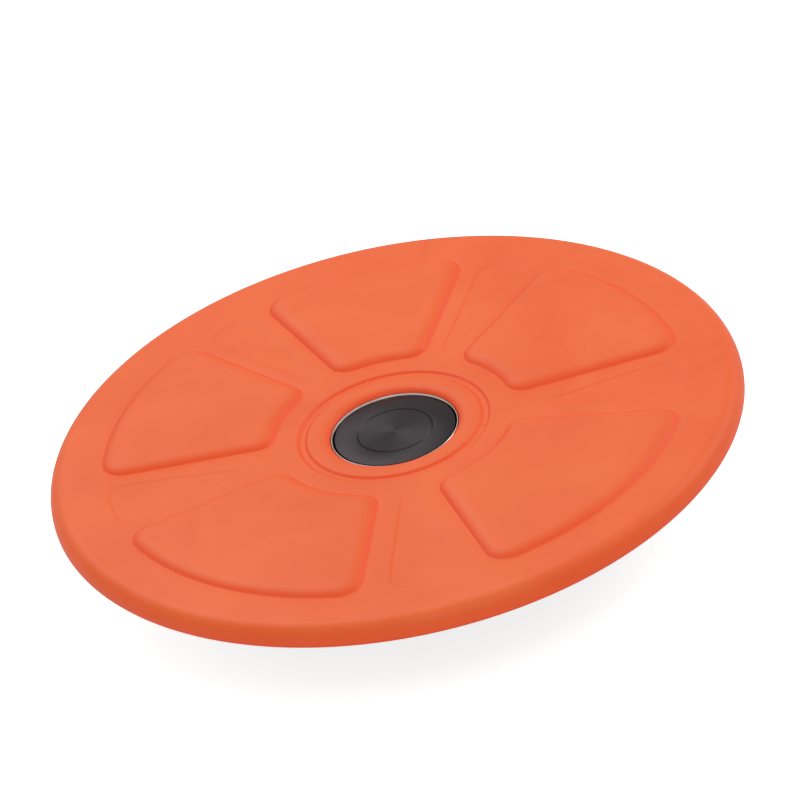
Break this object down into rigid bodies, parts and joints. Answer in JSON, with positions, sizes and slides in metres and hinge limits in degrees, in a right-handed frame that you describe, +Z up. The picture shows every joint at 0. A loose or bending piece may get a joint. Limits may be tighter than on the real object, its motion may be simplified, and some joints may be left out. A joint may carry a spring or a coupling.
{
  "type": "balance board",
  "caption": "Round foam-topped balance board on a screw-adjustable dome foot, with raised pads and a centre hub.",
  "frame": {"origin": "centre of the rubber foot's flat patch, on the floor, below the middle of the deck", "axes": "+Z up along the deck's normal, +Y from the centre through the narrow pad, +X to its right seen from above"},
  "size_m": [0.4, 0.4, 0.078],
  "materials": {
    "foam": "moulded integral-skin polyurethane foam, matt",
    "plywood": "birch plywood, sealed",
    "black_plastic": "glass-filled nylon, fine texture",
    "turned_steel": "turned",
    "screw_steel": "zinc plated",
    "black_aluminium": "black anodised, turned face",
    "brass": "machined",
    "rubber": "matt",
    "acetal": "moulded, smooth"
  },
  "bodies": {
    "deck": {"core_insert_1": "brass", "core_insert_2": "brass", "core_insert_3": "brass", "core_insert_4": "brass", "core_insert_5": "brass", "core_insert_6": "brass", "core_plate": "plywood", "cover_screw_1": "screw_steel", "cover_screw_2": "screw_steel", "cover_screw_3": "screw_steel", "cover_screw_4": "screw_steel", "cover_screw_5": "screw_steel", "cover_screw_6": "screw_steel", "cover_screw_7": "screw_steel", "cover_screw_8": "screw_steel", "deck_cushion": "foam", "flange_screw_1": "screw_steel", "flange_screw_2": "screw_steel", "flange_screw_3": "screw_steel", "flange_screw_4": "screw_steel", "flange_screw_5": "screw_steel", "flange_screw_6": "screw_steel", "retaining_ring": "screw_steel", "threaded_sleeve": "turned_steel", "underside_cover": "black_plastic"},
    "indexer": {"index_ring": "acetal"},
    "dome": {"cap_screw_1": "screw_steel", "cap_screw_2": "screw_steel", "cap_screw_3": "screw_steel", "dome_shell": "black_plastic", "foot_nut": "screw_steel", "foot_stud": "screw_steel", "foot_washer": "screw_steel", "hub_cap": "black_aluminium", "rubber_foot": "rubber", "stem_screw_1": "screw_steel", "stem_screw_2": "screw_steel", "stem_screw_3": "screw_steel", "stem_screw_4": "screw_steel", "stem_screw_5": "screw_steel", "stem_screw_6": "screw_steel", "threaded_stem": "black_plastic"}
  },
  "joints": [
    {"name": "height_turn", "type": "hinge", "parent": "deck", "child": "indexer", "pos_m": [0, 0, 0.043], "axis": [0, 0, -1], "range_deg": [0, 300]},
    {"name": "height_travel", "type": "slide", "parent": "indexer", "child": "dome", "axis": [0, 0, -1], "range_m": [0, 0.02]}
  ],
  "couplings": [
    {"joint": "height_travel", "follows": "height_turn", "m_per_rad": 0.0038197}
  ]
}
